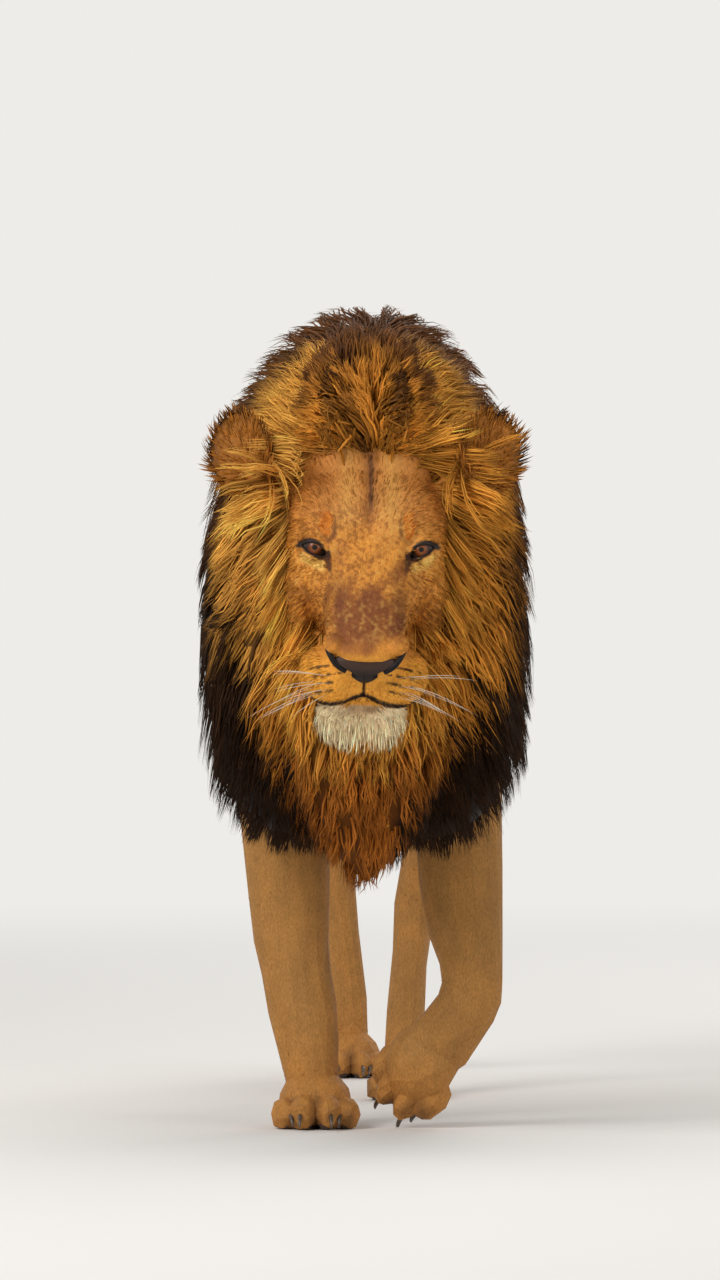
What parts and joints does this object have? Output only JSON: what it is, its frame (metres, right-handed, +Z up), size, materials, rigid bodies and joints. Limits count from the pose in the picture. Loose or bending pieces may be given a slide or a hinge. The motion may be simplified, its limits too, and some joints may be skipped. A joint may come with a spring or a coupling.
{
  "type": "lion",
  "caption": "Walking adult male lion, life size and still, with a full dark mane, head low and a forepaw lifted.",
  "frame": {"origin": "on the ground, under the middle of the lion's box", "axes": "+Z up, +Y towards the tail, so the lion faces -Y, and +X towards its left side"},
  "size_m": [0.478, 2.0952, 1.1532],
  "materials": {
    "tawny_hide": "short tawny coat, lying flat",
    "paw_hide": "short pale coat over the toes and pads",
    "jaw_hide": "short coat with a white chin tuft",
    "ear_hide": "short coat, paler inside the cup",
    "nose_leather": "bare damp skin",
    "eye_glass": "amber iris, round black pupil, clear gloss",
    "gold_mane": "long golden-brown hair in locks",
    "dark_mane": "long near-black hair in locks",
    "brown_mane": "long dark brown hair in locks"
  },
  "bodies": {
    "root": {"belly": "tawny_hide", "chest": "tawny_hide", "ear_left": "ear_hide", "ear_right": "ear_hide", "eye_left": "eye_glass", "eye_right": "eye_glass", "foreleg_left_lower": "tawny_hide", "foreleg_left_paw": "paw_hide", "foreleg_left_upper": "tawny_hide", "foreleg_right_lower": "tawny_hide", "foreleg_right_paw": "paw_hide", "foreleg_right_upper": "tawny_hide", "head": "tawny_hide", "hindleg_left_foot": "tawny_hide", "hindleg_left_paw": "paw_hide", "hindleg_left_shank": "tawny_hide", "hindleg_left_thigh": "tawny_hide", "hindleg_right_foot": "tawny_hide", "hindleg_right_paw": "paw_hide", "hindleg_right_shank": "tawny_hide", "hindleg_right_thigh": "tawny_hide", "hindquarters": "tawny_hide", "lower_jaw": "jaw_hide", "mane_beard": "gold_mane", "mane_belly": "dark_mane", "mane_breast": "dark_mane", "mane_crest": "gold_mane", "mane_left": "gold_mane", "mane_right": "gold_mane", "mane_withers": "brown_mane", "muzzle": "tawny_hide", "neck": "tawny_hide", "nose": "nose_leather", "tail_base": "tawny_hide", "tail_end": "tawny_hide", "tail_middle": "tawny_hide", "tail_tuft": "dark_mane"}
  },
  "joints": []
}
